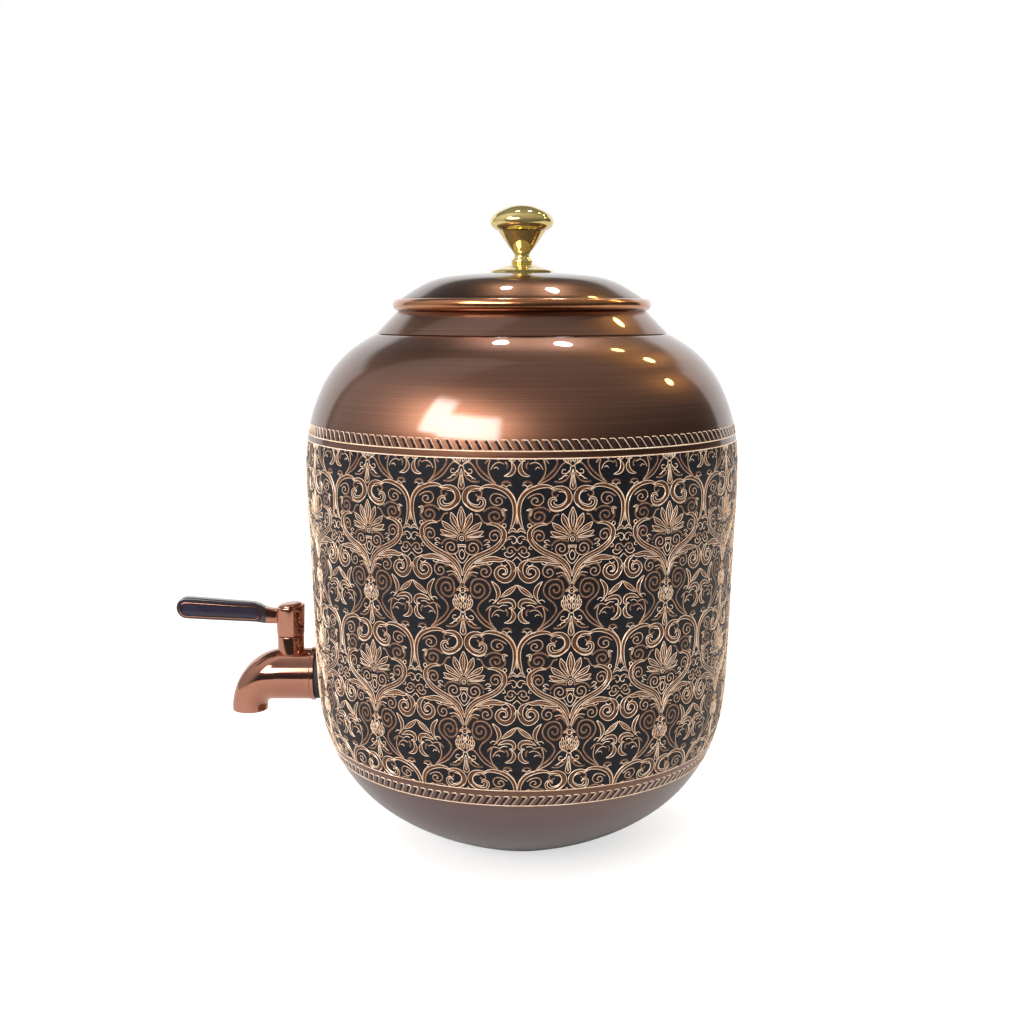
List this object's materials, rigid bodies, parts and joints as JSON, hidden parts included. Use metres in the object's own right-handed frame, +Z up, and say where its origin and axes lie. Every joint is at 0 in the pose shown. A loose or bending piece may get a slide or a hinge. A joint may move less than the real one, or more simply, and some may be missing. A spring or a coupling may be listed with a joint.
{
  "type": "copper water dispenser pot",
  "caption": "Barrel-shaped copper water pot with an etched scroll band, a lift-off domed lid with a brass knob, and a lever tap near the base.",
  "frame": {"origin": "centre of the flat base, on the pot's axis, where it stands on a surface", "axes": "+Z up along the pot's axis, -X towards the tap, +Y to the right when facing along -X"},
  "size_m": [0.2913, 0.22, 0.3263],
  "materials": {
    "antique_copper": "brushed antique copper under clear lacquer",
    "polished_copper": "polished warm copper under clear lacquer",
    "rose_copper_plate": "mirror-bright rose copper plating",
    "polished_brass": "polished brass",
    "grip_enamel": "near-black satin inlay",
    "black_rubber": "matte",
    "white_ptfe": "matte white sealing plastic",
    "plain_steel": "plain stainless steel"
  },
  "bodies": {
    "vessel": {"vessel_shell": "antique_copper", "neck_collar": "antique_copper", "tap_body": "rose_copper_plate", "tap_bonnet": "rose_copper_plate", "tap_gasket_outer": "black_rubber", "tap_gasket_inner": "black_rubber", "tap_washer": "plain_steel", "tap_lock_nut": "polished_brass", "stem_packing": "black_rubber", "valve_seat_inlet": "white_ptfe", "valve_seat_outlet": "white_ptfe"},
    "lever": {"lever_handle": "rose_copper_plate", "lever_grip_front": "grip_enamel", "lever_grip_back": "grip_enamel", "lever_screw": "plain_steel", "lever_cap": "rose_copper_plate", "valve_stem": "polished_brass", "valve_plug": "polished_brass"},
    "lid": {"lid_dome": "polished_copper", "lid_locating_ring": "polished_copper", "knob_base": "polished_brass", "knob_stem": "polished_brass", "knob_cap": "polished_brass", "knob_washer": "plain_steel", "knob_screw": "plain_steel"}
  },
  "joints": [
    {"name": "lid_lift", "type": "slide", "parent": "vessel", "child": "lid", "axis": [0, 0, 1], "range_m": [0, 0.12]},
    {"name": "lever_turn", "type": "hinge", "parent": "vessel", "child": "lever", "pos_m": [-0.1218, 0, 0.11], "axis": [0, 0, 1], "range_deg": [0, 90]}
  ]
}
